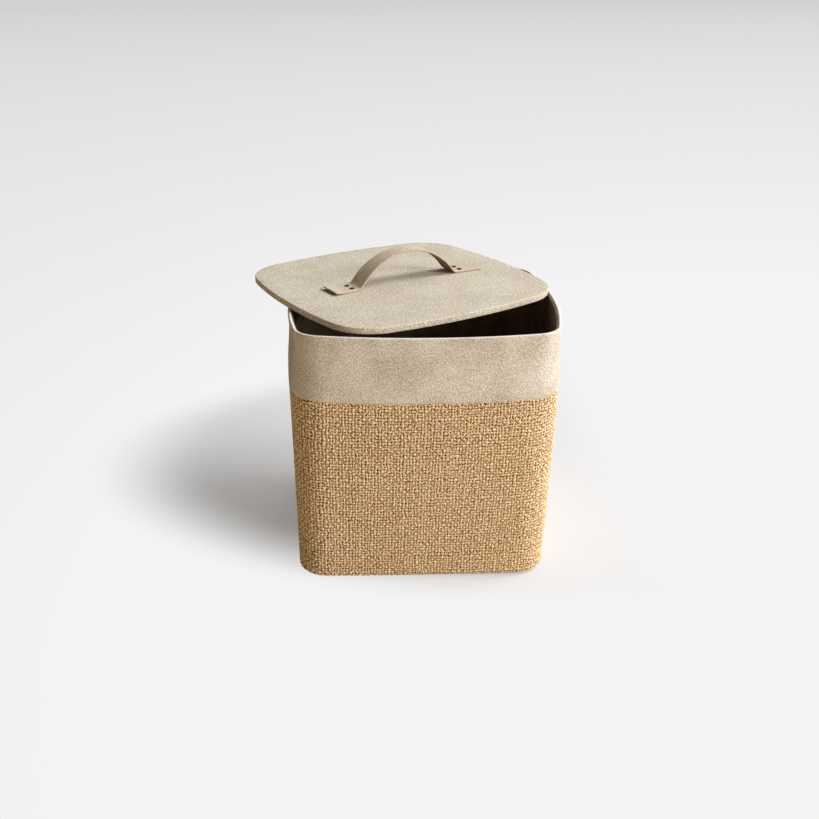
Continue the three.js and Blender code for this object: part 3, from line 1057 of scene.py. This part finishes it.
def makeStrap():
    line = strapLine()
    lifted = (strap["liftFrom"] - line[:, 0]) / (strap["liftFrom"] - strap["start"])
    line[:, 1] += strap["tabLift"] * np.clip(lifted, 0, 1) ** strap["liftCurve"]
    across = np.linspace(-0.5, 0.5, strap["acrossFaces"] + 1)
    y = strap["aside"] + across[:, None] * strapWidths(line)[None, :]
    x = line[None, :, 0] + 0 * y
    z = line[None, :, 1] + 0 * y
    piece = gridPiece("strap", x, y, z)
    mapPiece(piece, "hide", lengthAlong(line[:, 0], line[:, 1])[None, :] + 0 * y, y)
    for material in (suede["strapSuede"], suede["cutEdge"], suede["fleshSideAndShade"]):
        piece.data.materials.append(material)
    thicken = piece.modifiers.new("thicken", "SOLIDIFY")
    thicken.thickness = strap["thickness"]
    thicken.offset = 0.0
    thicken.material_offset_rim = 1
    bpy.ops.object.modifier_apply(modifier="thicken")
    # the rough flesh side shows from below, darker than the top: partly its own colour and partly
    # painted shade
    for face in piece.data.polygons:
        if face.material_index == 0 and face.normal.z < 0:
            face.material_index = 2
    soften = piece.modifiers.new("soften", "BEVEL")
    soften.width = strap["edgeRound"]
    soften.segments = 2
    soften.limit_method = "ANGLE"
    soften.angle_limit = math.radians(50)
    bpy.ops.object.modifier_apply(modifier="soften")
    placeOnLid(piece)
    finishPiece(piece, None, "lid", "handle_strap", mergeSeams=False)


makeStrap()
print("strap bent")


# the rivets show as they are, in dark metal
for place in ("left_front", "left_back", "right_front", "right_back"):
    finishNode("handle_rivet_" + place, rivetMaterial)
print("rivets set")


# floor, light and background
stage = {
    "floorSize": 160.0,
    "floorColour": rgb(223, 225, 229),
    "floorBounce": rgb(208, 184, 148),
    # the shadow shows inside an ellipse round its middle, and not far to the right
    "shadowMiddle": (0.2, 0.155, 0.0),
    "shadowShape": (0.553, 1.0, 1.0),
    "shadowFull": 0.242,
    "shadowGone": 0.327,
    "evenShare": 0.255,
    "rightFull": 0.14,
    "rightGone": 0.27,
    "nearGlow": rgb(244, 244, 244),
    "farGlow": rgb(209, 209, 209),
    "glowSlope": 0.606,
    "glowStart": 0.12,
    "glowTilt": 0.196,
    "skyGlow": rgb(214, 214, 214),
    "worldColour": rgb(255, 238, 216),
    "worldStrength": 0.1,
    "aim": (0, 0, 0.12),
}
white = (1.0, 1.0, 1.0)
warm = (1.0, 0.82, 0.6)
# each lamp: degrees round from the front to the right, degrees up, distance, size, watts, colour
lamps = {
    "sideLamp": (60, 22, 4.0, 1.7, 117, white),
    "highLamp": (100, 50, 4.0, 1.7, 108, white),
    "frontLamp": (0, 8, 4.0, 1.2, 25, warm),
    "backLamp": (140, 40, 4.0, 3.0, 40, white),
}


def makeFloor():
    bpy.ops.object.select_all(action="DESELECT")
    bpy.ops.mesh.primitive_plane_add(size=stage["floorSize"], location=(0, 0, 0))
    floor = bpy.context.object
    floor.name = "floor"
    material, tree, shader = newMaterial("paper")
    tree.nodes.remove(shader)
    place = objectCoordinates(tree)
    distance = vectorMath(tree, "LENGTH", place)
    toRight = addNode(tree, "ShaderNodeSeparateXYZ", {0: place}).outputs["X"]
    seen = addNode(tree, "ShaderNodeLightPath").outputs["Is Camera Ray"]
    # towards the horizon the camera sees a backdrop that darkens softly, a little more on the left
    fade = calc(tree, "MULTIPLY_ADD", calc(tree, "LOGARITHM", distance, 10.0), stage["glowSlope"],
                stage["glowStart"])
    tilt = calc(tree, "MULTIPLY", calc(tree, "DIVIDE", toRight, distance), stage["glowTilt"])
    fade = calc(tree, "SUBTRACT", fade, tilt, clamp=True)
    glowColour = mixColour(tree, fade, stage["nearGlow"], stage["farGlow"])
    colour = mixColour(tree, seen, stage["floorBounce"], stage["floorColour"])
    diffuse = addNode(tree, "ShaderNodeBsdfDiffuse", {"Color": colour})
    glow = addNode(tree, "ShaderNodeEmission", {"Color": glowColour, "Strength": 1.0})
    # the shadow fades into the even paper well away from the basket, and soon on its right
    away = vectorMath(tree, "SUBTRACT", place, stage["shadowMiddle"])
    away = vectorMath(tree, "LENGTH", vectorMath(tree, "MULTIPLY", away, stage["shadowShape"]))
    even = mapRange(tree, away, stage["shadowFull"], stage["shadowGone"], stage["evenShare"], 1.0)
    right = mapRange(tree, toRight, stage["rightFull"], stage["rightGone"])
    even = calc(tree, "MAXIMUM", even, right)
    mix = addNode(tree, "ShaderNodeMixShader", {0: calc(tree, "MULTIPLY", even, seen)})
    tree.links.new(diffuse.outputs[0], mix.inputs[1])
    tree.links.new(glow.outputs[0], mix.inputs[2])
    tree.links.new(mix.outputs[0], tree.nodes["Material Output"].inputs["Surface"])
    floor.data.materials.append(material)


def makeWorld():
    world = bpy.data.worlds.new("studio")
    scene.world = world
    world.use_nodes = True
    tree = world.node_tree
    tree.nodes.clear()
    rays = addNode(tree, "ShaderNodeLightPath").outputs
    seen = calc(tree, "MAXIMUM", rays["Is Camera Ray"],
                calc(tree, "MAXIMUM", rays["Is Glossy Ray"], rays["Is Transmission Ray"]))
    soft = addNode(tree, "ShaderNodeBackground", {
        "Color": stage["worldColour"], "Strength": stage["worldStrength"],
    })
    shown = addNode(tree, "ShaderNodeBackground", {"Color": stage["skyGlow"], "Strength": 1.0})
    mix = addNode(tree, "ShaderNodeMixShader", {0: seen})
    tree.links.new(soft.outputs[0], mix.inputs[1])
    tree.links.new(shown.outputs[0], mix.inputs[2])
    output = addNode(tree, "ShaderNodeOutputWorld")
    tree.links.new(mix.outputs[0], output.inputs["Surface"])


def addLamp(name, place, target, size, power, colour):
    bpy.ops.object.light_add(type="AREA", location=place)
    lamp = bpy.context.object
    lamp.name = name
    lamp.data.shape = "SQUARE"
    lamp.data.size = size
    lamp.data.energy = power
    lamp.data.color = colour
    toTarget = np.array(target) - np.array(place)
    tilt = math.acos(-toTarget[2] / np.linalg.norm(toTarget))
    lamp.rotation_euler = (tilt, 0.0, math.atan2(toTarget[1], toTarget[0]) - math.pi / 2)


def lampPlace(roundDegrees, upDegrees, distance):
    side, up = math.radians(roundDegrees), math.radians(upDegrees)
    x = distance * math.cos(up) * math.sin(side)
    y = -distance * math.cos(up) * math.cos(side)
    return (x, y, stage["aim"][2] + distance * math.sin(up))


makeFloor()
makeWorld()
for lampName, (roundDegrees, upDegrees, distance, size, power, colour) in lamps.items():
    addLamp(lampName, lampPlace(roundDegrees, upDegrees, distance), stage["aim"], size, power,
            colour)
print("stage set")
